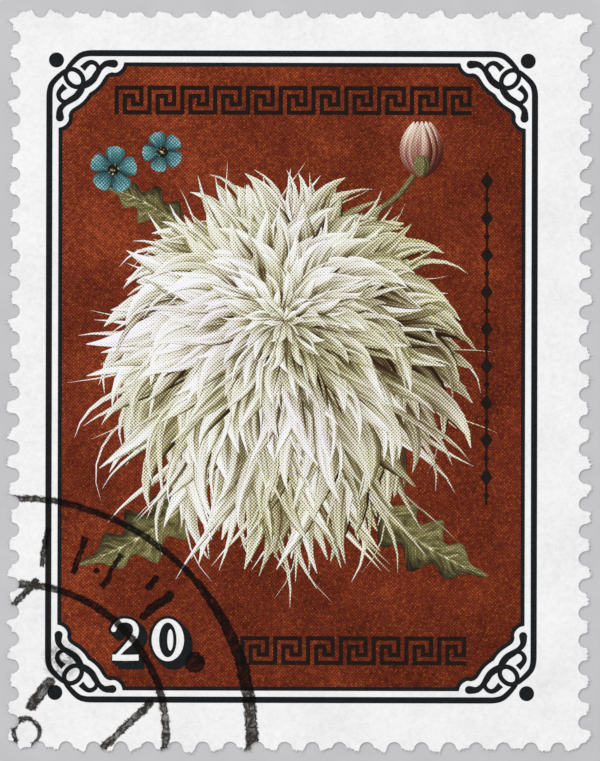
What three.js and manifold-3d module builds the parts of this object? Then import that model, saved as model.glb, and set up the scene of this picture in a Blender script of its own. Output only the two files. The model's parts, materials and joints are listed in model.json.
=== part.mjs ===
// A used postage stamp, lying face up on the plane z = 0.
// A sheet of perforated paper carries its print: a double line frame with scrolled corners, a red-brown
// ground, a white chrysanthemum with leaves, a bud and two blue flowers, three bands of ornament and a
// plain value figure. Each printed area is a thin plate of ink, laid on the paper or on the ink below it.
// Millimetres, +Z up. The origin is the middle of the paper's underside; +Y points to the stamp's top.
import * as THREE from "three";
import { mergeVertices } from "three/addons/utils/BufferGeometryUtils.js";
import Module from "manifold-3d";

const wasm = await Module();
wasm.setup();

// Paper: 21 by 27 perforations of gauge 12, which is 12 holes in 20 mm.
const perforationPitch = 20 / 12;
const pitchesAcross = 21;
const pitchesDown = 27;
const paperWidth = pitchesAcross * perforationPitch;
const paperHeight = pitchesDown * perforationPitch;
const paperThickness = 0.1;
const holeRadius = 0.45;
const holeSides = 8; // straight pieces in the half circle that a hole leaves
const tornReach = 0.1; // how far the torn tip of a tooth stands past the line of holes
const roughness = 0.02; // how much the holes and the roots of the teeth differ

// Print: it sits a little off the middle of the paper.
const inkThickness = 0.005;
const printShift = { x: -0.48, y: 0.2 };
const frameWidth = 29.6; // between the middles of the outer lines
const frameHeight = 39.4;
const outerLine = 0.38;
const innerLine = 0.25;
const lineSpacing = 0.68; // from the outer line's middle to the inner line's
const inkGap = 0.0015; // between printed areas side by side

// Corner ornament, measured from the crossing of the two outer lines, across and down.
// Only the half beside the top line is listed: the other half mirrors it in the diagonal.
const cornerReach = 2.7;
const loop = { middle: 1.52, long: 0.62, short: 0.45, line: 0.29 };
const cornerDot = { middle: 0.42, radius: 0.46 };
const arcPath = [
  [cornerReach, 0], [2.38, 0.01], [2, 0.09], [1.8, 0.2],
  [1.52, 0.45], [1.25, 0.75], [1.09, 0.97], [1.02, 1.3],
];
const arcWidths = [0.38, 0.37, 0.36, 0.34, 0.33, 0.3, 0.28, 0.14];
const tailPath = [
  [1.86, 2.08], [2.34, 1.86], [2.66, 1.6], [2.88, 1.25], [3.14, 0.88], [3.45, 0.64], [3.93, 0.64],
];
const tailWidths = [0.36, 0.43, 0.42, 0.39, 0.3, 0.38, 0.5];
const hookPath = [[2.9, 1.24], [2.97, 0.88], [2.78, 0.62], [2.51, 0.55], [2.29, 0.66], [2, 0.95]];
const hookWidths = [0.3, 0.26, 0.27, 0.3, 0.34, 0.42];
const stepPath = [
  [4.65, lineSpacing], [4.58, 0.9], [4.37, 1.15], [4.07, 1.31], [3.77, 1.29],
  [3.56, 1.4], [3.38, 1.65], [3.16, 1.98], [2.84, 2.3], [2.52, 2.52],
];

// Ornament bands, which stand where a stamp has its lettering, and the value figure.
const fretUnit = 0.5; // between neighbouring lines of the key pattern
const fretLine = 0.26;
const topBand = { keys: 11, x: -10.7, y: 16.1 };
const bottomBand = { keys: 7, x: -2.95, y: -17.44 };
const sideBand = { beads: 18, x: 11.89, y: 2.37, length: 20.3, line: 0.14, bead: 1.1 };
const figure = { two: -10.06, nought: -7.5, y: -16.06, height: 2.6, outline: 0.18, shadow: 0.36 };

// Chrysanthemum: tiers of petals that start upright round the middle and droop at the sides.
// fall is how much longer the lowest petals are than those at the sides, as a share.
const bloom = { x: -0.5, y: 3.4, core: 2.4, fall: 0.3 };
const backTier = { count: 34, root: 1.2, reach: 12.5, width: 2, droop: 1, sway: 0.5, seed: 3 };
const middleTier = { count: 26, root: 1, reach: 9.2, width: 1.7, droop: 0.8, sway: 0.5, seed: 11 };
const innerTier = { count: 19, root: 0.8, reach: 5.6, width: 1.45, droop: 0.5, sway: 0.5, seed: 17 };
const heartTier = { count: 12, root: 0.4, reach: 2.7, width: 1.15, droop: 0.2, sway: 0.6, seed: 23 };
const leafGap = 0.05; // between a leaf and the petals in front of it
const leaves = [
  { name: "leaf_left", x: -5.4, y: -6.8, heading: 226, length: 9, width: 3.6, turn: -0.5 },
  { name: "leaf_right", x: 4.6, y: -7.2, heading: -48, length: 9, width: 3.6, turn: 0.5 },
  { name: "leaf_top", x: -6.2, y: 8.6, heading: 136, length: 6, width: 2.5, turn: 0.5 },
];
const budStem = { path: [[4, 9.6], [5.8, 10.4], [7.1, 11.4], [7.8, 12.7]], line: 0.36 };
const bud = { x: 7.9, y: 12.3, length: 3.3, petals: 5, spread: 0.36, width: 1.3 };
const blueFlowers = [
  { name: "blue_flower_left", x: -10.9, y: 12.6, radius: 1.45, turn: 0.2 },
  { name: "blue_flower_right", x: -7.9, y: 13.7, radius: 1.25, turn: 0.7 },
];
const flowerEye = 0.34;

const paints = {
  paper: { color: 0xf2f2f3, roughness: 0.9, metalness: 0 },
  key: { color: 0x1f1e20, roughness: 0.6, metalness: 0 },
  ground: { color: 0x762f19, roughness: 0.65, metalness: 0 },
  petal: { color: 0xe4dfd2, roughness: 0.65, metalness: 0 },
  petalShade: { color: 0xc2b99c, roughness: 0.65, metalness: 0 },
  leaf: { color: 0x6f6b3f, roughness: 0.65, metalness: 0 },
  blue: { color: 0x6fa3a8, roughness: 0.65, metalness: 0 },
  white: { color: 0xf4f3f0, roughness: 0.7, metalness: 0 },
};

// The height of a layer's underside: layer 0 lies on the paper.
const level = (layer) => paperThickness + layer * inkThickness;

// A number from 0 to 1 that is always the same for the same seed and count.
const vary = (seed, count) => {
  const wave = Math.sin(seed * 12.9898 + count * 78.233) * 43758.5453;
  return wave - Math.floor(wave);
};

const mixed = (list, share) => {
  const place = share * (list.length - 1);
  const before = Math.min(Math.floor(place), list.length - 2);
  return list[before] + (list[before + 1] - list[before]) * (place - before);
};

function plate(outline, layer, thickness = inkThickness) {
  const shape = Array.isArray(outline) ? new THREE.Shape(outline) : outline;
  const depth = { depth: thickness, bevelEnabled: false, steps: 1, curveSegments: 15 };
  return new THREE.ExtrudeGeometry(shape, depth).translate(0, 0, level(layer));
}

function solidOf(geometry) {
  const bare = geometry.clone();
  bare.deleteAttribute("normal");
  bare.deleteAttribute("uv");
  const merged = mergeVertices(bare, 1e-5);
  // Whole steps of 0.0001 mm keep edges that lie on each other exactly in line.
  const snapped = Array.from(merged.attributes.position.array, (v) => Math.round(v * 1e4) / 1e4);
  return new wasm.Manifold(new wasm.Mesh({
    numProp: 3,
    vertProperties: new Float32Array(snapped),
    triVerts: new Uint32Array(merged.index.array),
  }));
}

function geometryOf(solid) {
  const largest = solid.decompose().sort((a, b) => b.volume() - a.volume())[0];
  // The joins leave points inside flat faces and straight edges, and these are taken out again.
  const mesh = largest.asOriginal().simplify(1e-4).getMesh();
  const geometry = new THREE.BufferGeometry();
  geometry.setAttribute("position", new THREE.BufferAttribute(mesh.vertProperties, 3));
  geometry.setIndex(new THREE.BufferAttribute(mesh.triVerts, 1));
  geometry.computeVertexNormals();
  return geometry;
}

const joined = (geometries) => geometryOf(wasm.Manifold.union(geometries.map(solidOf)));

// Evenly spaced points on a smooth curve through a path.
function smooth(path, steps) {
  const points = path.map(([x, y]) => new THREE.Vector3(x, y, 0));
  return new THREE.CatmullRomCurve3(points, false, "centripetal")
    .getSpacedPoints(steps)
    .map((p) => new THREE.Vector2(p.x, p.y));
}

// The unit vector that points left of the way from one point to another.
function leftOf(from, to) {
  const along = to.clone().sub(from).normalize();
  return new THREE.Vector2(-along.y, along.x);
}

const acrossAt = (points, i) =>
  leftOf(points[Math.max(i - 1, 0)], points[Math.min(i + 1, points.length - 1)]);

// The outline of a brush stroke along points, with widthAt(share) across it and round or cut ends.
function stroke(points, widthAt, roundEnds = [false, false], capSides = 6) {
  const last = points.length - 1;
  const left = [];
  const right = [];
  points.forEach((point, i) => {
    const reach = acrossAt(points, i).multiplyScalar(widthAt(i / last) / 2);
    left.push(point.clone().add(reach));
    right.push(point.clone().sub(reach));
  });
  const cap = (end, sign) => {
    const across = acrossAt(points, end).multiplyScalar((widthAt(end / last) / 2) * sign);
    return Array.from({ length: capSides - 1 }, (_, i) =>
      across.clone().rotateAround(new THREE.Vector2(), (-Math.PI * (i + 1)) / capSides).add(points[end]));
  };
  return [
    ...left,
    ...(roundEnds[1] ? cap(last, 1) : []),
    ...right.reverse(),
    ...(roundEnds[0] ? cap(0, -1) : []),
  ];
}

function piece(name, geometry, paint) {
  const mesh = new THREE.Mesh(geometry, new THREE.MeshStandardMaterial(paint));
  mesh.name = name;
  return mesh;
}

// One side of the paper, from just after a corner hole to just before the next: holes and torn teeth.
function perforatedSide(corner, along, outward, pitches, seed) {
  const points = [];
  const place = (distance, out) =>
    corner.clone().addScaledVector(along, distance).addScaledVector(outward, out);
  for (let tooth = 0; tooth < pitches; tooth += 1) {
    const start = tooth * perforationPitch + holeRadius;
    const end = (tooth + 1) * perforationPitch - holeRadius;
    const third = (end - start) / 3;
    const radius = holeRadius - roughness * vary(seed + 7, tooth);
    // The third tooth reaches the full length, so that every side ends at the same distance.
    const reachOf = (n) => tornReach * (tooth === 2 ? 1 : 0.25 + 0.7 * vary(seed, tooth * 2 + n));
    points.push(place(start, roughness * vary(seed, -tooth)));
    points.push(place(start + third * 0.8, reachOf(0)), place(end - third * 0.8, reachOf(1)));
    points.push(place(end, roughness * vary(seed + 1, -tooth)));
    if (tooth === pitches - 1) break;
    for (let i = 1; i < holeSides; i += 1) {
      const angle = (Math.PI * i) / holeSides;
      points.push(place(end + holeRadius - radius * Math.cos(angle), -radius * Math.sin(angle)));
    }
  }
  return points;
}

function paper() {
  const sides = [
    { x: -1, y: -1, along: [1, 0], out: [0, -1], pitches: pitchesAcross },
    { x: 1, y: -1, along: [0, 1], out: [1, 0], pitches: pitchesDown },
    { x: 1, y: 1, along: [-1, 0], out: [0, 1], pitches: pitchesAcross },
    { x: -1, y: 1, along: [0, -1], out: [-1, 0], pitches: pitchesDown },
  ];
  const outline = sides.flatMap(({ x, y, along, out, pitches }, i) => {
    const corner = new THREE.Vector2((x * paperWidth) / 2, (y * paperHeight) / 2);
    const side = perforatedSide(
      corner, new THREE.Vector2(...along), new THREE.Vector2(...out), pitches, i + 1,
    );
    // A quarter of a hole is missing from the corner, between this side and the one before.
    const inward = new THREE.Vector2(-x, -y).multiplyScalar(holeRadius * Math.SQRT1_2);
    return [corner.clone().add(inward), ...side];
  });
  const shape = new THREE.Shape(outline);
  const depth = { depth: paperThickness, bevelEnabled: false, steps: 1 };
  return piece("paper", new THREE.ExtrudeGeometry(shape, depth), paints.paper);
}

// The corner's own frame points right and down, so a plate made there is turned over by mirroring.
const downward = (path) => path.map(([across, down]) => [across, -down]);
const overDiagonal = (path) => path.map(([across, down]) => [down, across]);

function cornerScroll(name) {
  const halves = (path) => [downward(path), downward(overDiagonal(path))];
  const drawn = (path, steps, widths, ends) => halves(path).map((half) =>
    plate(stroke(smooth(half, steps), (s) => mixed(widths, s), ends), 0));
  const ring = (shape, extra) => shape.absellipse(
    loop.middle, -loop.middle, loop.long + extra, loop.short + extra, 0, Math.PI * 2, false, -Math.PI / 4,
  );
  const band = ring(new THREE.Shape(), loop.line / 2);
  band.holes.push(ring(new THREE.Path(), -loop.line / 2));
  return piece(name, joined([
    ...drawn(arcPath, 14, arcWidths),
    ...drawn(tailPath, 16, tailWidths, [true, true]),
    ...drawn(hookPath, 12, hookWidths),
    plate(band, 0),
  ]), paints.key);
}

function cornerSpot(name) {
  const disc = new THREE.Shape();
  disc.absarc(cornerDot.middle, -cornerDot.middle, cornerDot.radius, 0, Math.PI * 2);
  return piece(name, plate(disc, 0), paints.key);
}

function corners() {
  const group = new THREE.Group();
  [["top_left", 1, 1], ["top_right", -1, 1], ["bottom_left", 1, -1], ["bottom_right", -1, -1]].forEach(
    ([place, across, down]) => {
      const corner = new THREE.Group();
      corner.position.set((-across * frameWidth) / 2, (down * frameHeight) / 2, 0);
      corner.scale.set(across, down, 1);
      corner.add(cornerScroll("corner_scroll_" + place), cornerSpot("corner_dot_" + place));
      group.add(corner);
    },
  );
  return group;
}

function outerLines() {
  const across = frameWidth - 2 * (cornerReach + inkGap);
  const down = frameHeight - 2 * (cornerReach + inkGap);
  const line = (name, length, width, x, y) => {
    const box = new THREE.BoxGeometry(length, width, inkThickness);
    return piece(name, box.translate(x, y, level(0) + inkThickness / 2), paints.key);
  };
  return [
    line("frame_line_top", across, outerLine, 0, frameHeight / 2),
    line("frame_line_bottom", across, outerLine, 0, -frameHeight / 2),
    line("frame_line_left", outerLine, down, -frameWidth / 2, 0),
    line("frame_line_right", outerLine, down, frameWidth / 2, 0),
  ];
}

// The middle of the inner line, which steps in round each corner ornament, counter-clockwise.
function innerPath() {
  const half = smooth(stepPath, 18);
  const mirrored = half.slice(0, -1).reverse().map((p) => new THREE.Vector2(p.y, p.x));
  const topLeft = [...half, ...mirrored]; // from the top line down to the left line
  const placed = (across, down) => {
    const points = topLeft.map((p) =>
      new THREE.Vector2(across * (p.x - frameWidth / 2), down * (frameHeight / 2 - p.y)));
    return across * down > 0 ? points : points.reverse();
  };
  return [...placed(1, 1), ...placed(1, -1), ...placed(-1, -1), ...placed(-1, 1)];
}

// A closed line of points moved to its left, with mitred corners.
const insetBy = (points, distance) => points.map((point, i) => {
  const before = leftOf(points[(i + points.length - 1) % points.length], point);
  const after = leftOf(point, points[(i + 1) % points.length]);
  const mitre = before.add(after).normalize();
  return point.clone().addScaledVector(mitre, distance / mitre.dot(after));
});

function innerFrame() {
  const middle = innerPath();
  const band = new THREE.Shape(insetBy(middle, -innerLine / 2));
  band.holes.push(new THREE.Path(insetBy(middle, innerLine / 2).reverse()));
  return piece("frame_line_inner", plate(band, 0), paints.key);
}

function ground() {
  return piece("ground", plate(insetBy(innerPath(), innerLine / 2 + inkGap), 0), paints.ground);
}

// A level or upright bar of ink between two points. Its square ends reach half its width past them.
function bar(from, to, width, layer) {
  const across = Math.abs(to.x - from.x) + width;
  const down = Math.abs(to.y - from.y) + width;
  const box = new THREE.BoxGeometry(across, down, inkThickness);
  return box.translate((from.x + to.x) / 2, (from.y + to.y) / 2, level(layer) + inkThickness / 2);
}

// A running key pattern drawn as one line.
function keyBand(name, { keys, x, y }) {
  const turns = [[0, 0], [0, 3], [3, 3], [3, 1], [2, 1], [2, 2], [1, 2], [1, 0]];
  const points = Array.from({ length: keys }, (_, key) =>
    turns.map(([across, up]) => new THREE.Vector2(across + key * 4, up))).flat();
  points.push(new THREE.Vector2(keys * 4 - 1, 0));
  points.forEach((point) => point.multiplyScalar(fretUnit));
  const bars = points.slice(1).map((point, i) => bar(points[i], point, fretLine, 1));
  return piece(name, joined(bars).translate(x, y, 0), paints.key);
}

// An upright line with small and large lozenges threaded on it.
function beadLine() {
  const { beads, x, y, length, line, bead } = sideBand;
  const ends = [-1, 1].map((side) => new THREE.Vector2(0, (side * (length - line)) / 2));
  const lozenges = Array.from({ length: beads }, (_, i) => {
    const size = i % 2 ? bead : bead / 2;
    const middle = length * ((i + 0.5) / beads - 0.5);
    const corners = [[0.35, 0], [0, 0.5], [-0.35, 0], [0, -0.5]];
    return plate(corners.map(([out, up]) => new THREE.Vector2(out * size, up * size + middle)), 1);
  });
  return piece("band_side", joined([bar(...ends, line, 1), ...lozenges]).translate(x, y, 0), paints.key);
}

const ellipse = (width, height, x = 0, y = 0) => {
  const shape = new THREE.Shape();
  shape.absellipse(x, y, width / 2, height / 2, 0, Math.PI * 2);
  return shape;
};

function figures() {
  const { two, nought, y, height, outline, shadow } = figure;
  const twoPath = [
    [-0.75, 0.62], [-0.5, 1.05], [0, 1.18], [0.48, 0.98],
    [0.62, 0.52], [0.4, 0.02], [-0.1, -0.52], [-0.6, -1.04],
  ];
  const twoWidths = [0.3, 0.24, 0.22, 0.32, 0.38, 0.32, 0.22, 0.2];
  const basePath = [[-0.82, -1.08], [0, -1.1], [0.78, -1.08]];
  const twoStrokes = (extra, layer) => [
    plate(stroke(smooth(twoPath, 22), (s) => mixed(twoWidths, s) + extra, [true, true]), layer),
    plate(stroke(smooth(basePath, 2), () => 0.36 + extra), layer),
  ];
  const sliver = plate(ellipse(0.36, 1.3, 0.15, 0), 2);
  const wide = height * 0.76;
  const noughtRing = ellipse(wide, height);
  noughtRing.holes.push(ellipse(wide * 0.54, height * 0.82));
  // The black backing is the figure's own shape grown all round and drawn on towards the lower right.
  const backing = (strokes) => {
    const copies = [0, 0.5, 1].flatMap((share) =>
      strokes().map((g) => g.translate(share * shadow, -share * shadow, 0)));
    return joined(copies);
  };
  const grown = 2 * outline;
  return [
    piece("figure_two_shadow", backing(() => twoStrokes(grown, 1)).translate(two, y, 0), paints.key),
    piece("figure_nought_shadow", backing(() => [plate(ellipse(wide + grown, height + grown), 1)])
      .translate(nought, y, 0), paints.key),
    piece("figure_two", joined(twoStrokes(0, 2)).translate(two, y, 0), paints.white),
    piece("figure_nought", plate(noughtRing, 2).translate(nought, y, 0), paints.white),
    piece("figure_nought_sliver", sliver.translate(nought, y, 0), paints.white),
  ];
}

// The middle line of a petal: it leaves the heart at its own angle, droops if it points sideways, and sways.
function petalSpine(tier, k, steps) {
  const angle = (Math.PI * 2 * (k + 0.4 * vary(tier.seed, k))) / tier.count + Math.PI / 2;
  const length = tier.reach * (1 - bloom.fall * Math.sin(angle)) * (0.86 + 0.14 * vary(tier.seed + 1, k));
  const phase = vary(tier.seed + 2, k) * Math.PI * 2;
  const points = [];
  const point = new THREE.Vector2(Math.cos(angle), Math.sin(angle)).multiplyScalar(tier.root);
  for (let i = 0; i <= steps; i += 1) {
    const share = i / steps;
    points.push(point.clone());
    const heading = angle - tier.droop * Math.cos(angle) * share ** 1.3
      + tier.sway * share * Math.sin(phase + share * 4.5);
    point.add(new THREE.Vector2(Math.cos(heading), Math.sin(heading)).multiplyScalar(length / steps));
  }
  return points;
}

// A petal is narrow at its root, widest past the middle and comes to a blunt point.
const petalWidth = (share) => (0.4 + 0.6 * Math.sin(Math.PI * share ** 1.3)) * (1 - share ** 7);

function petalTier(tier, layer, grown = 0) {
  const steps = tier.reach > 6 ? 11 : 7;
  const plates = Array.from({ length: tier.count }, (_, k) =>
    plate(stroke(petalSpine(tier, k, steps), (s) => tier.width * petalWidth(s) + 0.03 + 2 * grown), layer));
  const core = new THREE.Shape();
  core.absarc(0, 0, Math.min(bloom.core, tier.reach * 0.6), 0, Math.PI * 2);
  return joined([...plates, plate(core, layer)]).translate(bloom.x, bloom.y, 0);
}

// A leaf's edge swells into blunt lobes on its way to the tip.
function leafPlate({ x, y, heading, length, width, turn }, layer) {
  const steps = 30;
  const points = [];
  const point = new THREE.Vector2(x, y);
  for (let i = 0; i <= steps; i += 1) {
    const angle = THREE.MathUtils.degToRad(heading) + (turn * i) / steps;
    points.push(point.clone());
    point.add(new THREE.Vector2(Math.cos(angle), Math.sin(angle)).multiplyScalar(length / steps));
  }
  const lobes = (s) => 0.72 + 0.28 * Math.cos(s * Math.PI * 8);
  return plate(stroke(points, (s) => 0.05 + width * Math.sin(Math.PI * s ** 0.8) * lobes(s)), layer);
}

function budHead(grown = 0) {
  const plates = Array.from({ length: bud.petals }, (_, k) => {
    const lean = (k - (bud.petals - 1) / 2) * bud.spread;
    const points = Array.from({ length: 6 }, (_unused, i) => {
      const share = i / 5;
      const angle = Math.PI / 2 - lean * (1 - share * 0.8);
      return new THREE.Vector2(Math.cos(angle), Math.sin(angle)).multiplyScalar(share * bud.length);
    });
    const width = (s) => 0.04 + bud.width * Math.sin(Math.PI * (0.12 + 0.84 * s)) + 2 * grown;
    return plate(stroke(points, width), 1);
  });
  return joined(plates).translate(bud.x, bud.y, 0);
}

function blossom({ x, y, radius, turn }, grown = 0) {
  const sides = 40;
  const outline = Array.from({ length: sides }, (_, i) => {
    const angle = (Math.PI * 2 * i) / sides;
    const reach = grown + radius * (0.62 + 0.38 * Math.sqrt(Math.abs(Math.cos(2.5 * (angle - turn)))));
    return new THREE.Vector2(Math.cos(angle), Math.sin(angle)).multiplyScalar(reach);
  });
  return plate(outline, 1).translate(x, y, 0);
}

// The leaves and the bud's stem lie beside the petals that cover their ends.
function foliage() {
  const covers = [petalTier(backTier, 1, leafGap), budHead(leafGap)];
  covers.push(...blueFlowers.map((flower) => blossom(flower, leafGap)));
  const covered = wasm.Manifold.union(covers.map(solidOf));
  const cut = (geometry) => geometryOf(solidOf(geometry).subtract(covered));
  const stem = plate(stroke(smooth(budStem.path, 6), () => budStem.line), 1);
  const made = leaves.map((leaf) => piece(leaf.name, cut(leafPlate(leaf, 1)), paints.leaf));
  return [...made, piece("bud_stem", cut(stem), paints.leaf)];
}

function blueFlower(flower) {
  const eye = new THREE.Shape();
  eye.absarc(flower.x, flower.y, flowerEye, 0, Math.PI * 2);
  return [
    piece(flower.name, blossom(flower), paints.blue),
    piece(flower.name + "_eye", plate(eye, 2), paints.key),
  ];
}

function picture() {
  return [
    piece("bloom_back", petalTier(backTier, 1), paints.petalShade),
    piece("bloom_middle", petalTier(middleTier, 2), paints.petal),
    piece("bloom_inner", petalTier(innerTier, 3), paints.petal),
    piece("bloom_heart", petalTier(heartTier, 4), paints.petalShade),
    ...foliage(),
    piece("bud", budHead(), paints.petal),
    ...blueFlowers.flatMap(blueFlower),
  ];
}

const print = new THREE.Group();
print.position.set(printShift.x, printShift.y, 0);
print.add(corners(), ...outerLines(), innerFrame(), ground());
print.add(keyBand("band_top", topBand), keyBand("band_bottom", bottomBand), beadLine());
print.add(...figures(), ...picture());

const stamp = new THREE.Group();
stamp.add(paper(), print);

export default stamp;
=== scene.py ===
import json
import math
import random

import bmesh
import bpy
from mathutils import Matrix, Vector, noise as field


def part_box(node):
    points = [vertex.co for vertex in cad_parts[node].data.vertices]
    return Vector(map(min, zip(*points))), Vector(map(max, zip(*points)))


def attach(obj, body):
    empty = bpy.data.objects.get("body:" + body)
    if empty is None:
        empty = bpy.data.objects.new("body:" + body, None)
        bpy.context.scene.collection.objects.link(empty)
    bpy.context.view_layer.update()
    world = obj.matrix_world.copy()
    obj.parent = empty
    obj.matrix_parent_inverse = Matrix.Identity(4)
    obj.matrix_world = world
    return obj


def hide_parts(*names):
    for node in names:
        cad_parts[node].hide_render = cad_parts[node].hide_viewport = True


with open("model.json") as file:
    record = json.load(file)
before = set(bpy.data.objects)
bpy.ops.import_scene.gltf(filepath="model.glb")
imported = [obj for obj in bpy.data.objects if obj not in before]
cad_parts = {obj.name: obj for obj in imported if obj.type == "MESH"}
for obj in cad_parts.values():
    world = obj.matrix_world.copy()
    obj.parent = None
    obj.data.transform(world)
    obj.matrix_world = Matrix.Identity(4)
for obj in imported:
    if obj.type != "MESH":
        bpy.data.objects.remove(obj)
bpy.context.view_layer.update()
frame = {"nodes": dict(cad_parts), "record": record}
random.seed(35)

# The pieces are modelled in millimetres, and settle() brings a finished piece to metres.
paperLow, paperHigh = [corner * 1000 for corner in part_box("paper")]
groundLow, groundHigh = [corner * 1000 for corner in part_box("ground")]
printMiddle = ((groundLow + groundHigh) / 2).to_2d()


def only(*pieces):
    bpy.ops.object.select_all(action="DESELECT")
    for piece in pieces:
        piece.select_set(True)
    bpy.context.view_layer.objects.active = pieces[0]


def linked(mesh, name):
    piece = bpy.data.objects.new(name, mesh)
    bpy.context.scene.collection.objects.link(piece)
    return piece


def joined(pieces):
    only(*pieces)
    bpy.ops.object.join()
    return bpy.context.object


def settle(piece, name, finish, slot, *nodes):
    only(piece)
    piece.location = piece.location * 0.001
    piece.scale = piece.scale * 0.001
    bpy.ops.object.transform_apply(location=True, rotation=True, scale=True)
    piece.name = piece.data.name = name
    piece.data.materials.clear()
    piece.data.materials.append(finish)
    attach(piece, "root")
    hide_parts(*nodes)


# A wire is a shader socket that can be added, multiplied and so on.
class Wire:
    def __init__(self, tree, socket=None):
        self.tree = tree
        self.socket = socket

    def node(self, kind, settings=None, sockets=None, out=0):
        made = self.tree.nodes.new(kind)
        for key, value in (settings or {}).items():
            setattr(made, key, value)
        for key, value in (sockets or {}).items():
            if isinstance(value, Wire):
                self.tree.links.new(value.socket, made.inputs[key])
            else:
                made.inputs[key].default_value = value
        return Wire(self.tree, made.outputs[out] if made.outputs else None)

    def math(self, operation, *values):
        return self.node("ShaderNodeMath", {"operation": operation}, dict(enumerate((self, *values))))

    def held(self):
        return self.node("ShaderNodeMath", {"operation": "ADD", "use_clamp": True}, {0: self, 1: 0.0})

    def __add__(self, other):
        return self.math("ADD", other)

    def __sub__(self, other):
        return self.math("SUBTRACT", other)

    def __mul__(self, other):
        return self.math("MULTIPLY", other)

    def __truediv__(self, other):
        return self.math("DIVIDE", other)

    def __pow__(self, other):
        return self.math("POWER", other)

    def __abs__(self):
        return self.math("ABSOLUTE")

    def __rsub__(self, other):
        return self.node("ShaderNodeMath", {"operation": "SUBTRACT"}, {0: other, 1: self})

    __radd__ = __add__
    __rmul__ = __mul__


def hexColour(code):
    parts = [int(code[i:i + 2], 16) / 255 for i in (0, 2, 4)]
    return (*[part / 12.92 if part <= 0.04045 else ((part + 0.055) / 1.055) ** 2.4 for part in parts], 1)


def mixed(w, factor, first, second, blend="MIX"):
    settings = {"data_type": "RGBA", "blend_type": blend}
    return w.node("ShaderNodeMix", settings, {0: factor, 6: first, 7: second}, out=2)


def grainy(w, vector, scale, detail=2.0, roughness=0.5, distortion=0.0):
    sockets = {"Vector": vector, "Scale": scale, "Detail": detail}
    sockets.update({"Roughness": roughness, "Distortion": distortion})
    return w.node("ShaderNodeTexNoise", {}, sockets)


def ramp(w, factor, *stops):
    made = w.node("ShaderNodeValToRGB", {}, {0: factor})
    elements = made.socket.node.color_ramp.elements
    elements[0].position, elements[1].position = stops[0][0], stops[-1][0]
    for place, code in stops[1:-1]:
        elements.new(place)
    for element, (place, code) in zip(elements, stops):
        element.color = hexColour(code)
    return made


def separated(w, vector):
    return [w.node("ShaderNodeSeparateXYZ", {}, {0: vector}, out=axis) for axis in range(2)]


def newFinish(name):
    finish = bpy.data.materials.new(name)
    finish.use_nodes = True
    finish.node_tree.nodes.clear()
    w = Wire(finish.node_tree)
    place = w.node("ShaderNodeTexCoord", out=3)  # Object coordinates, in metres
    spot = w.node("ShaderNodeVectorMath", {"operation": "SCALE"}, {0: place, "Scale": 1000.0})  # millimetres
    return finish, w, spot, *separated(w, spot)


# depth is how deep the bump looks, in metres.
def coat(w, colour, roughness, bump=None, depth=0.000004, specular=0.1):
    sockets = {"Base Color": colour, "Roughness": roughness, "Specular IOR Level": specular}
    if bump is not None:
        relief = {"Height": bump, "Strength": 0.6, "Distance": depth}
        sockets["Normal"] = w.node("ShaderNodeBump", {}, relief)
    shader = w.node("ShaderNodeBsdfPrincipled", {}, sockets)
    w.node("ShaderNodeOutputMaterial", {}, {0: shader})


# Four-colour printing: each ink is laid down in dots on its own slanted screen. The pitch is the
# distance between dots, and below the lightness calmBelow they fade into flat ink.
halftone = {
    "pitch": 0.15, "sharpness": 2.5, "blackShare": 0.9, "tintShare": 0.5, "calmBelow": 0.45,
    "screens": {"cyan": -15, "magenta": 75, "yellow": 0, "black": 45},
}


def screened(w, x, y, ink, coverage):
    angle = math.radians(halftone["screens"][ink])
    rate = math.tau / halftone["pitch"]
    rows = x * (math.cos(angle) * rate) + y * (math.sin(angle) * rate)
    columns = y * (math.cos(angle) * rate) - x * (math.sin(angle) * rate)
    wave = (rows.math("COSINE") + columns.math("COSINE")) * 0.5
    return ((wave - 1 + coverage * 2) * halftone["sharpness"] + 0.5).held()


def dotted(w, x, y, colour, strength):
    channels = [w.node("ShaderNodeSeparateColor", {}, {0: colour}, out=i) for i in range(3)]
    lightest = channels[0].math("MAXIMUM", channels[1]).math("MAXIMUM", channels[2])
    black = (1 - lightest) * halftone["blackShare"]
    share = ((lightest / halftone["calmBelow"]) ** 0.6).held() * strength
    bare = (1 - black) + (black - screened(w, x, y, "black", black)) * share
    inked = []
    for ink, channel in zip(("cyan", "magenta", "yellow"), channels):
        tone = channel / (1 - black)
        dots = 1 - screened(w, x, y, ink, 1 - tone)
        inked.append((tone + (dots - tone) * (share * halftone["tintShare"])) * bare)
    return w.node("ShaderNodeCombineColor", {}, dict(enumerate(inked)))


# Cancelling mark, struck over the lower left corner. Each bar is two ends and half a width.
postmark = {
    "centre": (-17.2, -21.6),
    "outerRing": {"radius": 14.35, "half": 0.2, "swollen": 0.2, "from": -6.5, "over": 3},
    "innerRing": {"radius": 9.12, "half": 0.23},
    "smallRing": {
        "centre": (-16.6, -21.5), "radius": 0.8, "half": 0.15, "gap": (-16.75, -22.3), "missing": 0.42,
    },
    "bars": (
        ((-15.15, -18.45), (-16.3, -19.85), 0.33), ((-11.95, -22.45), (-9.05, -19.75), 0.24),
        ((-16.05, -12.3), (-17.3, -13.7), 0.21), ((-7.85, -13.15), (-9.5, -14.35), 0.27),
        ((-8.7, -12.15), (-9.15, -12.6), 0.24),
    ),
    "blots": (((-6.35, -17.25), 0.64), ((-12.4, -11.6), 0.2)),
    "ticks": {"from": 10.3, "to": 12.7, "every": 0.19, "half": 0.2, "start": 0.95, "end": 1.55},
    "smudge": ((-14.45, -17.1), 1.35),
    "ink": hexColour("37332f"), "softness": 0.09,
}


def fromPoint(x, y, point):
    return ((x - point[0]) ** 2 + (y - point[1]) ** 2) ** 0.5


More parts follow.
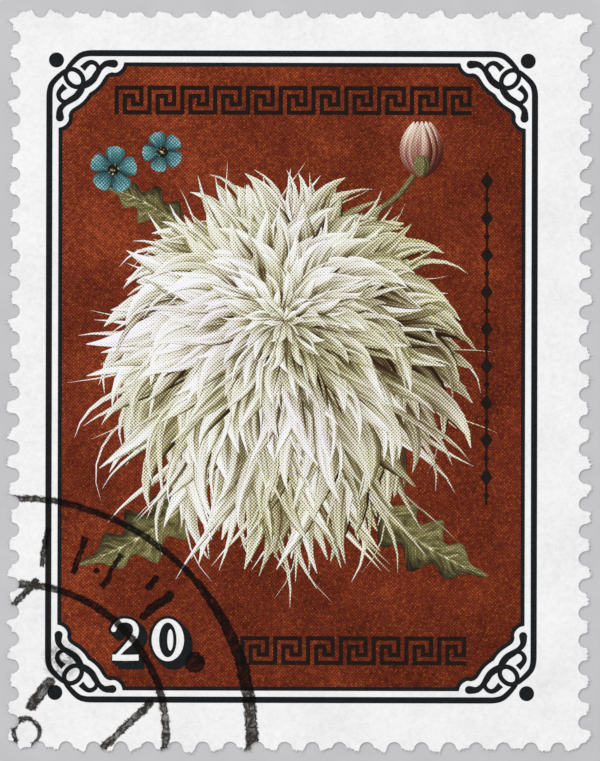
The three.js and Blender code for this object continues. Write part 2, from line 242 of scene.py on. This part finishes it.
def fromBar(x, y, first, last):
    run = Vector(last) - Vector(first)
    share = (((x - first[0]) * run.x + (y - first[1]) * run.y) / run.length_squared).held()
    return fromPoint(x - share * run.x, y - share * run.y, first)


# How far a point is outside the nearest stroke of the mark. It is below zero within one.
def markEdge(x, y):
    reach = fromPoint(x, y, postmark["centre"])
    outer, inner, small, ticks = [postmark[key] for key in ("outerRing", "innerRing", "smallRing", "ticks")]
    swell = ((x - outer["from"]) / outer["over"]).held() * outer["swollen"]
    edges = [abs(reach - outer["radius"]) - outer["half"] - swell]
    edges.append(abs(reach - inner["radius"]) - inner["half"])
    ring = abs(fromPoint(x, y, small["centre"]) - small["radius"]) - small["half"]
    edges.append(ring.math("MAXIMUM", small["missing"] - fromPoint(x, y, small["gap"])))
    edges += [fromBar(x, y, first, last) - half for first, last, half in postmark["bars"]]
    edges += [fromPoint(x, y, point) - radius for point, radius in postmark["blots"]]
    turn = (y - postmark["centre"][1]).math("ARCTAN2", x - postmark["centre"][0])
    between = abs((turn / ticks["every"]).math("FRACT") - 0.5) * (ticks["every"] * ticks["to"])
    radial = (reach - ticks["to"]).math("MAXIMUM", ticks["from"] - reach)
    sector = (turn - ticks["end"]).math("MAXIMUM", ticks["start"] - turn) * ticks["from"]
    edges.append((between - ticks["half"]).math("MAXIMUM", radial).math("MAXIMUM", sector))
    nearest = edges[0]
    for edge in edges[1:]:
        nearest = nearest.math("MINIMUM", edge)
    return nearest


# Lays the mark over a colour, with a ragged outline, a dark rim and thin patches within.
def cancelled(w, spot, x, y, colour):
    sway = grainy(w, spot, 0.9, 3.0, 0.6) - 0.5
    grain = grainy(w, spot, 4.0, 4.0, 0.75)
    edge = markEdge(x + sway * 0.36, y - sway * 0.3) + (grain - 0.5) * 0.42
    covered = (0.5 - edge / postmark["softness"]).held()
    rim = (1 - abs(edge + 0.07) / postmark["softness"]).held()
    patches = grainy(w, spot, 1.9, 4.0, 0.75, 0.9)
    density = (0.95 + rim * 0.16 + (grain - 0.5) * 0.8 + (patches - 0.5) * 1.2).held()
    middle, radius = postmark["smudge"]
    smear = ((1 - fromPoint(x, y, middle) / radius) * 2.2).held() * (patches * 3.6 + grain * 2 - 2.3).held()
    return mixed(w, (covered * density).math("MAXIMUM", smear * 0.8), colour, postmark["ink"], "MULTIPLY")


# Ink soaked into the paper keeps white from showing in the joints of the print.
soaked = {"inside": 0.1, "cornerCut": 4.9, "colour": hexColour("2a1710")}


def paperFinish():
    finish, w, spot, x, y = newFinish("stampPaper")
    clouds = grainy(w, spot, 0.25, 3.0)
    pulp = grainy(w, spot, 3.0, 5.0, 0.75, 0.6)
    flecks = ((grainy(w, spot, 3.1, 2.0, 0.4, 1.5) - 0.66) * 12).held()
    colour = ramp(w, clouds * 0.35 + pulp * 0.65, (0.3, "e4e4e6"), (0.5, "f2f2f3"), (0.68, "fbfbfb"))
    colour = mixed(w, flecks * 0.25, colour, hexColour("d8d6d2"))
    half = (groundHigh - groundLow).to_2d() / 2
    offX, offY = abs(x - printMiddle.x), abs(y - printMiddle.y)
    outside = (offX - half.x).math("MAXIMUM", offY - half.y)
    outside = outside.math("MAXIMUM", offX + offY - (half.x + half.y - soaked["cornerCut"]))
    under = ((soaked["inside"] - outside) * 40).held()
    colour = mixed(w, under, colour, soaked["colour"])
    coat(w, cancelled(w, spot, x, y, colour), 0.9, pulp, 0.000008)
    return finish


def gumFinish():
    finish, w, spot, *_ = newFinish("gumSide")
    ripples = grainy(w, spot, 1.6, 3.0, 0.5, 1.2)
    washed = grainy(w, spot, 0.12, 2.0)
    mix = ripples * 0.4 + washed * 0.6
    colour = ramp(w, mix, (0.3, "e3dccb"), (0.55, "ebe6d9"), (0.75, "f0ede4"))
    coat(w, colour, 0.35 + ripples * 0.3, ripples, 0.00001, 0.4)
    return finish


def keyFinish(name, darkest, lightest):
    finish, w, spot, x, y = newFinish(name)
    grain = grainy(w, spot, 6.0, 4.0, 0.65)
    colour = ramp(w, grain, (0.35, darkest), (0.68, lightest))
    coat(w, cancelled(w, spot, x, y, colour), 0.7, grain)
    return finish


def groundFinish():
    finish, w, spot, x, y = newFinish("redBrownGround")
    clouds = grainy(w, spot, 0.2, 3.0, 0.55)
    speckle = grainy(w, spot, 4.5, 4.0, 0.8)
    sparks = grainy(w, spot, 7.0, 2.0, 0.8)
    mix = clouds * 0.35 + speckle * 0.65 - x * 0.0016 + y * 0.001
    colour = ramp(w, mix, (0.36, "430f03"), (0.45, "61200c"), (0.54, "752c15"), (0.64, "9e4726"))
    colour = mixed(w, ((sparks - 0.56) * 8).held() * 0.45, colour, hexColour("b2681c"))
    colour = mixed(w, ((0.44 - sparks) * 8).held() * 0.6, colour, hexColour("561a1c"))
    colour = dotted(w, x, y, colour, 0.4)
    coat(w, cancelled(w, spot, x, y, colour), 0.7, speckle)
    return finish


def whiteFinish():
    finish, w, spot, x, y = newFinish("figureWhite")
    grain = grainy(w, spot, 6.0, 3.0)
    colour = ramp(w, grain, (0.3, "e8e8e8"), (0.6, "f4f4f3"))
    coat(w, cancelled(w, spot, x, y, colour), 0.85, grain)
    return finish


# Brushwork follows each petal: its map runs along and across it, and it carries three numbers of
# its own. exposed is 0 where the next tier covers it and 1 at its tip, chance differs from petal to
# petal, and shade tells the lit side from the dark one.
def petalFinish(name, stops, start, climb, contrast=1.0, dots=0.68):
    finish, w, spot, x, y = newFinish(name)
    length, across = separated(w, w.node("ShaderNodeUVMap", {"uv_map": "PetalMap"}))
    exposed, chance, shade = [
        w.node("ShaderNodeAttribute", {"attribute_name": key}, out=2)
        for key in ("exposed", "chance", "shade")
    ]
    thread = w.node("ShaderNodeCombineXYZ", {}, {0: across, 1: length * 0.16, 2: chance * 40})
    fine = grainy(w, thread, 8.0, 3.0, 0.65, 0.4)
    broad = grainy(w, thread, 2.6, 1.0)
    rise = exposed.held() ** 0.75
    tone = start + rise * climb + (fine - 0.5) * (0.95 * contrast) + (broad - 0.5) * (1.05 * contrast)
    tone = tone + shade * 0.14 + (chance - 0.5) * 0.2 - (abs(across * 2 - 1) ** 6) * (0.24 - shade * 0.14)
    masses = grainy(w, spot, 0.13, 2.0)
    tone = (tone - (x - printMiddle.x) * 0.014 + (masses - 0.5) * 0.5).held()
    colour = ramp(w, tone, *stops)
    tint = grainy(w, spot, 0.17, 2.0)
    olive = ((0.52 - tint) * 5).held() * 0.5 + ((x - printMiddle.x) * 0.07).held() * 0.4
    colour = mixed(w, ((tint - 0.5) * 5).held() * 0.45, colour, hexColour("e8d9ea"), "MULTIPLY")
    colour = mixed(w, olive, colour, hexColour("e9e8bc"), "MULTIPLY")
    colour = dotted(w, x, y, colour, dots)
    coat(w, cancelled(w, spot, x, y, colour), 0.7)
    return finish


veining = {"count": 8, "slant": 0.13}
leafStops = (
    (0.0, "221b10"), (0.25, "484127"), (0.45, "6f6840"), (0.65, "938b61"), (0.85, "bcb48c"), (1.0, "dcd6ba"),
)


def leafFinish():
    finish, w, spot, x, y = newFinish("oliveLeaf")
    length, across = separated(w, w.node("ShaderNodeUVMap", {"uv_map": "PetalMap"}))
    side = abs(across * 2 - 1)
    midrib = (1 - side * 11).held()
    slanted = (length - side * veining["slant"]) * veining["count"]
    veins = abs(slanted.math("FRACT") - 0.5)
    veins = (1 - veins * 9).held() * (1 - side).held()
    thread = w.node("ShaderNodeCombineXYZ", {}, {0: slanted, 1: across * 1.6})
    brush = grainy(w, thread, 3.2, 3.0, 0.6, 0.4)
    tone = 0.4 + (brush - 0.5) * 1.1 + (across - 0.5) * 0.34 - (side ** 5) * 0.22
    tone = (tone + midrib * 0.4 + veins * 0.26).held()
    colour = dotted(w, x, y, ramp(w, tone, *leafStops), 0.5)
    coat(w, cancelled(w, spot, x, y, colour), 0.7)
    return finish


tealStops = (
    (0.0, "14262b"), (0.28, "3c6468"), (0.52, "66969b"), (0.78, "98bcbf"), (1.0, "d6e2e2"),
)


def blossomFinish():
    finish, w, spot, x, y = newFinish("tealBlossom")
    length, across = separated(w, w.node("ShaderNodeUVMap", {"uv_map": "PetalMap"}))
    chance = w.node("ShaderNodeAttribute", {"attribute_name": "chance"}, out=2)
    thread = w.node("ShaderNodeCombineXYZ", {}, {0: across, 1: length * 0.2, 2: chance * 40})
    fine = grainy(w, thread, 9.0, 2.0, 0.6)
    tone = 0.04 + length * 0.6 + (fine - 0.5) * 0.8 - (abs(across * 2 - 1) ** 5) * 0.35
    colour = dotted(w, x, y, ramp(w, tone.held(), *tealStops), 0.6)
    coat(w, cancelled(w, spot, x, y, colour), 0.7)
    return finish


def eyeFinish():
    finish, w, spot, *_ = newFinish("blossomEye")
    specks = grainy(w, spot, 6.5, 1.0)
    colour = ramp(w, specks, (0.45, "14110f"), (0.58, "2b2118"), (0.66, "b8ac7c"), (0.8, "ece8cf"))
    coat(w, colour, 0.7)
    return finish


def tableFinish():
    finish, w, spot, *_ = newFinish("paleTable")
    coat(w, ramp(w, grainy(w, spot, 0.3, 3.0), (0.3, "c2c2c5"), (0.7, "c9c9cc")), 0.9)
    return finish


creamStops = (
    (0.0, "2c190d"), (0.13, "524027"), (0.27, "867c5c"), (0.42, "b1a98d"),
    (0.57, "cfcbb8"), (0.73, "e5e4dd"), (0.88, "f3f3f4"), (1.0, "f6f6fd"),
)
roseStops = (
    (0.0, "4a1f15"), (0.22, "7d4637"), (0.42, "b0857a"), (0.6, "d8c2b4"), (0.8, "f0e9e2"), (1.0, "f8f6f5"),
)

print("finishes")
stampPaper = paperFinish()
gumSide = gumFinish()
frameBlack = keyFinish("frameBlack", "101215", "1e1f22")
bandBlack = keyFinish("bandBlack", "150d09", "241711")
redBrownGround = groundFinish()
figureWhite = whiteFinish()
underPetal = petalFinish("underPetal", creamStops, 0.4, 0.24, 0.8)
outerPetal = petalFinish("outerPetal", creamStops, 0.35, 0.38, 1.08)
innerPetal = petalFinish("innerPetal", creamStops, 0.37, 0.47, 1.08)
rosePetal = petalFinish("rosePetal", roseStops, 0.36, 0.4, 0.6, 0.45)
oliveLeaf = leafFinish()
tealBlossom = blossomFinish()
blossomEye = eyeFinish()


# Paper: a sheet with a layer of gum below, punched all round and torn at the ends of its teeth.
# A side's teeth start from a line that lies short of the middles of its holes by the side's cut.
paper = {
    "size": (35.0, 45.0), "gum": 0.012, "holes": (21, 27), "holeRadius": 0.45, "holeSides": 28,
    "tear": {"most": 0.32, "slant": 0.15, "jag": 0.1}, "toothCuts": 19, "wander": 0.018, "wanderDepth": 0.6,
    "sides": (
        {"axis": 0, "way": 1, "cut": 0.0, "mean": 0.17, "spread": 0.11},
        {"axis": 0, "way": -1, "cut": 0.0, "mean": 0.13, "spread": 0.11},
        {"axis": 1, "way": 1, "cut": 0.2, "mean": 0.09, "spread": 0.07},
        {"axis": 1, "way": -1, "cut": 0.1, "mean": 0.1, "spread": 0.08},
    ),
}
paper["pitch"] = paper["size"][0] / paper["holes"][0]
for side in paper["sides"]:
    side["edge"] = paper["size"][side["axis"]] / 2 - side["cut"]
    chord = math.sqrt(paper["holeRadius"] ** 2 - side["cut"] ** 2)
    side["toothHalf"] = 0.5 - chord / paper["pitch"]


def punches():
    columns, rows = paper["holes"]
    bpy.ops.mesh.primitive_cylinder_add(vertices=paper["holeSides"], radius=paper["holeRadius"], depth=1)
    master = bpy.context.object
    made = []
    for column in range(columns + 1):
        for row in range(rows + 1):
            if 0 < column < columns and 0 < row < rows:
                continue
            punch = linked(master.data.copy(), "punch")
            punch.location = (
                (column - columns / 2) * paper["pitch"], (row - rows / 2) * paper["pitch"], paperHigh.z / 2,
            )
            punch.rotation_euler[2] = random.uniform(0, 0.2)
            made.append(punch)
    bpy.data.objects.remove(master)
    return joined(made)


def isToothEnd(normal, middle, side):
    axis, way = side["axis"], side["way"]
    return normal[axis] * way > 0.99 and middle[axis] * way > side["edge"] - 0.001


# Gives each tooth its own length and slant, and returns the points of its torn end.
def tornEdge(sheet):
    only(sheet)
    bpy.ops.object.mode_set(mode="EDIT")
    bpy.ops.mesh.select_mode(type="FACE")
    bpy.ops.mesh.select_all(action="DESELECT")
    mesh = bmesh.from_edit_mesh(sheet.data)
    for face in mesh.faces:
        middle = face.calc_center_median()
        face.select = any(isToothEnd(face.normal, middle, side) for side in paper["sides"])
    bmesh.update_edit_mesh(sheet.data)
    bpy.ops.mesh.subdivide(number_cuts=paper["toothCuts"])
    mesh = bmesh.from_edit_mesh(sheet.data)
    tear = paper["tear"]
    teeth, tips = {}, []
    for vertex in mesh.verts:
        place = Vector((vertex.co.x, vertex.co.y, 0))
        for side in paper["sides"]:
            axis, way = side["axis"], side["way"]
            if abs(place[axis] * way - side["edge"]) > 0.0005:
                continue
            # share runs from -1 to 1 across a tooth
            across = place[1 - axis] / paper["pitch"] + (0.5 if paper["holes"][1 - axis] % 2 else 0)
            share = ((across % 1) - 0.5) / side["toothHalf"]
            tooth = (axis, way, math.floor(across))
            if tooth not in teeth:
                drawn = max(0.0, random.gauss(side["mean"], side["spread"]))
                teeth[tooth] = (drawn, random.gauss(0, tear["slant"]))
            length, slant = teeth[tooth]
            crown = max(0, 1 - abs(share) ** 6)
            jag = (field.noise(place * 9) + field.noise(place * 23) * 0.7) * tear["jag"]
            out = min(tear["most"], max(0, length + slant * share + jag))
            vertex.co[axis] += crown * out * way
            tips.append((vertex.co.to_2d(), axis, way))
        inside = min(side["edge"] - place[side["axis"]] * side["way"] for side in paper["sides"])
        if inside < paper["wanderDepth"]:
            vertex.co += field.noise_vector(place * 5).to_2d().to_3d() * paper["wander"]
    bmesh.update_edit_mesh(sheet.data)
    bpy.ops.object.mode_set(mode="OBJECT")
    return tips


def flatMapped(piece):
    bakeMap = piece.data.uv_layers.new(name="OFBake").data
    span = max(paperHigh - paperLow) + 1.5
    for loop in piece.data.loops:
        place = piece.data.vertices[loop.vertex_index].co
        bakeMap[loop.index].uv = (place.x / span + 0.5, place.y / span + 0.5)


def punchedSheet():
    right, left, top, bottom = [side["edge"] for side in paper["sides"]]
    middle = ((right - left) / 2, (top - bottom) / 2, paperHigh.z / 2)
    bpy.ops.mesh.primitive_cube_add(size=1, location=middle)
    sheet = bpy.context.object
    sheet.scale = (right + left, top + bottom, paperHigh.z)
    only(sheet)
    bpy.ops.object.transform_apply(location=True, rotation=True, scale=True)
    cutter = punches()
    only(sheet)
    punching = sheet.modifiers.new("punching", "BOOLEAN")
    punching.operation = "DIFFERENCE"
    punching.solver = "EXACT"
    punching.object = cutter
    bpy.ops.object.modifier_apply(modifier=punching.name)
    bpy.data.objects.remove(cutter)
    return sheet


print("paper")
sheet = punchedSheet()
tips = tornEdge(sheet)
gum = linked(sheet.data.copy(), "gum")
gumShare = paper["gum"] / paperHigh.z
for vertex in sheet.data.vertices:
    vertex.co.z = paper["gum"] + vertex.co.z * (1 - gumShare)
for vertex in gum.data.vertices:
    vertex.co.z *= gumShare
flatMapped(sheet)
flatMapped(gum)
settle(sheet, "paperSheet", stampPaper, "paper", "paper")
settle(gum, "gumLayer", gumSide, "paper", "paper")


# Loose fibres of paper, standing out where the teeth were torn
fibres = {
    "count": 4200, "shortest": 0.1, "longest": 0.34, "radius": 0.011, "heights": (0.02, 0.09),
    "curl": 1.3, "spread": 0.75, "rooted": 0.04,
}


def fibreMaster():
    bpy.ops.mesh.primitive_cylinder_add(vertices=3, radius=1, depth=1, location=(0, 0, 0.5))
    master = bpy.context.object
    only(master)
    bpy.ops.object.transform_apply(location=True)
    bpy.ops.object.mode_set(mode="EDIT")
    for level in (0.25, 0.5, 0.75):
        bpy.ops.mesh.select_all(action="SELECT")
        bpy.ops.mesh.bisect(plane_co=(0, 0, level), plane_no=(0, 0, 1))
    bpy.ops.object.mode_set(mode="OBJECT")
    return master


def tornFibres():
    master = fibreMaster()
    made = []
    for _ in range(fibres["count"]):
        place, axis, way = random.choice(tips)
        start = Vector((*place, random.uniform(*fibres["heights"])))
        start[axis] -= way * fibres["rooted"]
        heading = math.atan2(way * axis, way * (1 - axis)) + random.gauss(0, fibres["spread"])
        length = max(fibres["shortest"], fibres["longest"] * random.random() ** 2)
        curl = random.gauss(0, fibres["curl"])
        mesh = master.data.copy()
        for vertex in mesh.vertices:
            share = vertex.co.z
            angle = heading + curl * share
            chord = heading + curl * share / 2
            thin = fibres["radius"] * (1.1 - share * 0.6)
            middle = start + Vector((math.cos(chord), math.sin(chord), 0)) * (length * share)
            sideways = Vector((-math.sin(angle), math.cos(angle), 0)) * (vertex.co.x * thin)
            vertex.co = middle + sideways + Vector((0, 0, vertex.co.y * thin))
        made.append(linked(mesh, "fibre"))
    bpy.data.objects.remove(master)
    return joined(made)


print("fibres")
settle(tornFibres(), "tornFibres", stampPaper, "paper", "paper")


# Petals and leaves are copies of a thin flat strip. In it x runs along from 0 to 1, y across from
# -1 to 1 and z up from 0 to 1.
def strip(lengthCuts, widthCuts):
    bpy.ops.mesh.primitive_grid_add(
        x_subdivisions=lengthCuts, y_subdivisions=widthCuts, size=1, location=(0.5, 0, 0),
    )
    made = bpy.context.object
    only(made)
    made.scale = (1, 2, 1)
    bpy.ops.object.transform_apply(location=True, rotation=True, scale=True)
    bpy.ops.object.mode_set(mode="EDIT")
    bpy.ops.mesh.select_all(action="SELECT")
    bpy.ops.mesh.extrude_region_move(TRANSFORM_OT_translate={"value": (0, 0, 1)})
    bpy.ops.mesh.select_all(action="SELECT")
    bpy.ops.mesh.normals_make_consistent(inside=False)
    bpy.ops.object.mode_set(mode="OBJECT")
    return made


# Petals that cross lie in layers one step apart. light is where the painted light comes from.
film = {"thickness": 0.0003, "step": 0.0005, "layers": 7, "light": Vector((-0.6, 0.8))}


def inPrint(x, y):
    return Vector((printMiddle.x + x, printMiddle.y + y))


def vary(seed, count):
    wave = math.sin(seed * 12.9898 + count * 78.233) * 43758.5453
    return wave - math.floor(wave)


def headed(angle):
    return Vector((math.cos(angle), math.sin(angle)))


def walked(start, headingAt, length, steps=36):
    points = [start]
    for i in range(steps):
        points.append(points[-1] + headed(headingAt((i + 0.5) / steps)) * (length / steps))
    return points


def pointAlong(points, share):
    place = share * (len(points) - 1)
    before = min(int(place), len(points) - 2)
    step = points[before + 1] - points[before]
    return points[before] + step * (place - before), step.normalized()


# Lays a copy of the strip along a line of points. cell is its place in the piece's own bake map.
def laid(master, points, widthAt, base, cell, cells, exposedAt=lambda share: share, chance=0.5, sweep=0.0):
    mesh = master.data.copy()
    flat = [vertex.co.copy() for vertex in mesh.vertices]
    shades = []
    for vertex, (share, across, up) in zip(mesh.vertices, flat):
        middle, forward = pointAlong(points, share)
        sideways = Vector((-forward.y, forward.x))
        half = across * widthAt(share) / 2
        place = middle + sideways * half + forward * (abs(half) * sweep * (1 - share))
        vertex.co = (*place, base + up * film["thickness"])
        shades.append(across * sideways.dot(film["light"]))
    numbers = {"exposed": [exposedAt(co.x) for co in flat], "shade": shades, "chance": [chance] * len(flat)}
    for key, values in numbers.items():
        mesh.attributes.new(key, "FLOAT", "POINT").data.foreach_set("value", values)
    petalMap = mesh.uv_layers.new(name="PetalMap").data
    bakeMap = mesh.uv_layers.new(name="OFBake").data
    row, column = divmod(cell, cells)
    for loop in mesh.loops:
        share, across = flat[loop.vertex_index].x, flat[loop.vertex_index].y / 2 + 0.5
        petalMap[loop.index].uv = (share, across)
        bakeMap[loop.index].uv = ((column + 0.05 + 0.9 * across) / cells, (row + 0.05 + 0.9 * share) / cells)
    return linked(mesh, "laid")


# Leaves: their edges swell into blunt lobes on the way to the tip.
leaves = {
    "base": groundHigh.z + 0.0003,
    "shapes": (
        {"name": "leafLeft", "node": "leaf_left", "start": (-5.4, -6.8), "heading": 226, "length": 9,
         "width": 3.8, "turn": -0.5},
        {"name": "leafRight", "node": "leaf_right", "start": (4.6, -7.2), "heading": -48, "length": 9,
         "width": 3.8, "turn": 0.5},
        {"name": "leafTop", "node": "leaf_top", "start": (-6.2, 8.6), "heading": 136, "length": 6,
         "width": 2.6, "turn": 0.5},
    ),
}


def leafWidth(width, share):
    return 0.05 + width * math.sin(math.pi * share ** 0.8) * (0.72 + 0.28 * math.cos(share * math.pi * 8))


print("leaves")
leafStrip = strip(64, 6)
for shape in leaves["shapes"]:
    line = walked(
        inPrint(*shape["start"]),
        lambda share: math.radians(shape["heading"]) + shape["turn"] * share, shape["length"],
    )
    leaf = laid(
        leafStrip, line, lambda share: leafWidth(shape["width"], share), leaves["base"], 0, 1, sweep=0.3,
    )
    settle(leaf, shape["name"], oliveLeaf, "green_ink", shape["node"])

# Bud on a bent stem, held by narrow sepals
bud = {
    "foot": (7.9, 12.3), "length": 3.3, "width": 1.3, "petals": 5, "spread": 0.36,
    "sepals": 4, "sepalLength": 1.25, "sepalWidth": 0.46, "sepalSpread": 0.5,
    "stemStart": (4.0, 9.6), "stemLength": 5.1, "stemWidth": 0.36, "stemHeading": 20, "stemBend": 48,
    "base": groundHigh.z + 0.0006,
}


def fanned(master, count, spread, length, width, level):
    made = []
    for k in range(count):
        lean = (k - (count - 1) / 2) * spread
        points = [
            inPrint(*bud["foot"]) + headed(math.pi / 2 - lean * (1 - share * 0.8)) * (share * length)
            for share in (i / 12 for i in range(13))
        ]
        rank = level + count - abs(2 * k - count + 1) - (k % 2) * 0.5
        made.append(laid(
            master, points, lambda share: 0.03 + width * math.sin(math.pi * (0.12 + 0.87 * share)),
            bud["base"] + rank * film["step"], k, 3, chance=vary(31, k), exposedAt=lambda share: share ** 2,
        ))
    return made


print("bud")
petalStrip = strip(14, 2)
settle(joined(fanned(petalStrip, bud["petals"], bud["spread"], bud["length"], bud["width"], 0)),
       "budPetals", rosePetal, "cream_ink", "bud")
stemLine = walked(
    inPrint(*bud["stemStart"]),
    lambda share: math.radians(bud["stemHeading"] + bud["stemBend"] * share ** 1.2), bud["stemLength"],
)
stem = laid(petalStrip, stemLine, lambda share: bud["stemWidth"], leaves["base"], 8, 3)
sepals = fanned(petalStrip, bud["sepals"], bud["sepalSpread"], bud["sepalLength"], bud["sepalWidth"], 7)
settle(joined([stem, *sepals]), "budStem", oliveLeaf, "green_ink", "bud_stem")

# Two small blossoms of five round petals
blossoms = {
    "petals": 5, "base": groundHigh.z + 0.0006,
    "shapes": (
        {"name": "blossomLeft", "node": "blue_flower_left", "centre": (-10.9, 12.6),
         "radius": 1.45, "turn": 0.2},
        {"name": "blossomRight", "node": "blue_flower_right", "centre": (-7.9, 13.7),
         "radius": 1.25, "turn": 0.7},
    ),
}


def blossomWidth(radius, share):
    return 0.86 * radius * min(1, 0.3 + share) * math.sqrt(max(0, 1.002 - share ** 10))


print("blossoms")
for shape in blossoms["shapes"]:
    made = []
    for k in range(blossoms["petals"]):
        direction = headed(shape["turn"] + math.tau * k / blossoms["petals"])
        line = [inPrint(*shape["centre"]) + direction * (shape["radius"] * i / 8) for i in range(9)]
        made.append(laid(
            petalStrip, line, lambda share: blossomWidth(shape["radius"], share),
            blossoms["base"] + (k * 2 % 5) * film["step"], k, 3, chance=vary(41, k),
        ))
    settle(joined(made), shape["name"], tealBlossom, "blue_ink", shape["node"])

# Chrysanthemum in tiers, from the outermost petals to the heart, with thin quills among the petals.
# cover is how far the tiers above hide the petals of this one.
bloom = {
    "centre": (-0.5, 3.4), "fall": 0.3, "base": groundHigh.z + 0.0012, "rise": 0.0042,
    "quills": {"every": 3, "longer": 1.07, "width": 0.36}, "hidden": {"share": 0.72, "less": 0.3},
    "tiers": (
        {"name": "wispTier", "node": "bloom_back", "count": 63, "root": 1.2, "reach": 12.9, "width": 0.5,
         "droop": 1.0, "sway": 0.8, "seed": 5, "cover": 10.4, "finish": outerPetal},
        {"name": "underTier", "node": "bloom_back", "count": 84, "root": 1.2, "reach": 11.3, "width": 1.9,
         "droop": 1.0, "sway": 0.4, "seed": 37, "cover": 12.2, "finish": underPetal},
        {"name": "outerTier", "node": "bloom_back", "count": 84, "root": 1.2, "reach": 12.2, "width": 1.4,
         "droop": 1.0, "sway": 0.65, "seed": 3, "cover": 10.4, "finish": outerPetal},
        {"name": "secondTier", "node": "bloom_back", "count": 77, "root": 1.1, "reach": 10.4, "width": 1.35,
         "droop": 0.9, "sway": 0.65, "seed": 7, "cover": 8.7, "finish": outerPetal},
        {"name": "thirdTier", "node": "bloom_middle", "count": 70, "root": 1.0, "reach": 8.7, "width": 1.2,
         "droop": 0.8, "sway": 0.6, "seed": 11, "cover": 7.0, "finish": innerPetal},
        {"name": "fourthTier", "node": "bloom_middle", "count": 63, "root": 0.9, "reach": 7.0, "width": 1.1,
         "droop": 0.65, "sway": 0.55, "seed": 13, "cover": 5.3, "finish": innerPetal},
        {"name": "fifthTier", "node": "bloom_inner", "count": 49, "root": 0.8, "reach": 5.3, "width": 0.9,
         "droop": 0.5, "sway": 0.5, "seed": 17, "cover": 3.8, "finish": innerPetal},
        {"name": "sixthTier", "node": "bloom_inner", "count": 42, "root": 0.6, "reach": 3.8, "width": 0.75,
         "droop": 0.3, "sway": 0.5, "seed": 19, "cover": 2.5, "finish": innerPetal},
        {"name": "heartTier", "node": "bloom_heart", "count": 28, "root": 0.3, "reach": 2.5, "width": 0.55,
         "droop": 0.2, "sway": 0.7, "seed": 23, "cover": 1.3, "finish": innerPetal},
        {"name": "eyeTier", "node": "bloom_heart", "count": 14, "root": 0.05, "reach": 1.3, "width": 0.4,
         "droop": 0.0, "sway": 1.0, "seed": 29, "cover": 0.2, "finish": innerPetal},
    ),
}


def petalWidth(share):
    return 0.03 + (0.36 + 0.64 * math.sin(math.pi * share ** 1.35)) * (1 - share ** 6)


def bloomPetal(tier, level, k, cells):
    angle = math.tau * (k + 0.5 * vary(tier["seed"], k)) / tier["count"] + math.pi / 2
    fall = 1 - bloom["fall"] * math.sin(angle)
    phase = vary(tier["seed"] + 2, k) * math.tau
    quills, hidden = bloom["quills"], bloom["hidden"]
    quill = k % quills["every"] == 0
    stretch = quills["longer"] if quill else 1
    length = tier["reach"] * fall * (0.84 + 0.16 * vary(tier["seed"] + 1, k)) * stretch
    wide = tier["width"] * (quills["width"] if quill else 0.8 + 0.4 * vary(tier["seed"] + 4, k))
    line = walked(
        inPrint(*bloom["centre"]) + headed(angle) * tier["root"],
        lambda share: angle - tier["droop"] * math.cos(angle) * share ** 1.3
        + tier["sway"] * share * math.sin(phase + share * 4.5),
        length,
    )
    covered = max(0, (tier["cover"] * fall * hidden["share"] - hidden["less"]) / length)
    base = bloom["base"] + level * bloom["rise"] + (k * 3 % film["layers"]) * film["step"]
    return laid(
        petalStrip, line, lambda share: wide * petalWidth(share), base, k, cells,
        exposedAt=lambda share: max(-0.5, (share - covered) / (1 - covered)),
        chance=vary(tier["seed"] + 3, k),
    )


print("bloom")
slotOf = {part["node"]: part["material_slot"] for part in frame["record"]["subparts"]}
for level, tier in enumerate(bloom["tiers"]):
    cells = math.ceil(math.sqrt(tier["count"]))
    petals = joined([bloomPetal(tier, level, k, cells) for k in range(tier["count"])])
    settle(petals, tier["name"], tier["finish"], slotOf[tier["node"]], tier["node"])
bpy.data.objects.remove(petalStrip)
bpy.data.objects.remove(leafStrip)

print("printed plates")
plateFinish = {"red_brown_ink": redBrownGround, "black_ink": frameBlack, "paper_white": figureWhite}
for node, slot in slotOf.items():
    plate = frame["nodes"][node]
    if plate.hide_render:
        continue
    finish = plateFinish[slot]
    if node.startswith("band"):
        finish = bandBlack
    if node.endswith("_eye"):
        finish = blossomEye
    plate.data.materials[0] = finish

print("camera, floor and light")
# The camera looks straight down. Its places and the lamps' are in metres, and its roll is in degrees.
camera = {"height": 0.6, "width": 0.036585, "middle": (0.000037, -0.000024), "roll": 0.15, "sensor": 36.0}
bpy.ops.object.camera_add(
    location=(*camera["middle"], camera["height"]), rotation=(0, 0, math.radians(camera["roll"])),
)
eye = bpy.context.object
eye.data.sensor_fit = "HORIZONTAL"
eye.data.sensor_width = camera["sensor"]
eye.data.lens = camera["sensor"] * camera["height"] / camera["width"]
eye.data.clip_start = 0.01
bpy.context.scene.camera = eye

bpy.ops.mesh.primitive_plane_add(size=1.2, location=(0, 0, -0.00002))
floor = bpy.context.object
floor.name = "floor"
floor.data.materials.append(tableFinish())

lamps = (
    {"place": (-0.35, 0.4, 0.55), "size": 0.5, "power": 2.9},
    {"place": (0.45, -0.2, 0.6), "size": 0.6, "power": 1.15},
)
for lamp in lamps:
    bpy.ops.object.light_add(type="AREA", location=lamp["place"])
    made = bpy.context.object
    made.data.size = lamp["size"]
    made.data.energy = lamp["power"]
    made.rotation_euler = (-Vector(lamp["place"])).to_track_quat("-Z", "Y").to_euler()
studio = bpy.data.worlds.new("studio")
studio.use_nodes = True
studio.node_tree.nodes["Background"].inputs["Strength"].default_value = 0.55
studio.node_tree.nodes["Background"].inputs["Color"].default_value = (1, 1, 1, 1)
bpy.context.scene.world = studio
bpy.context.scene.view_settings.view_transform = "Standard"

print("ready")
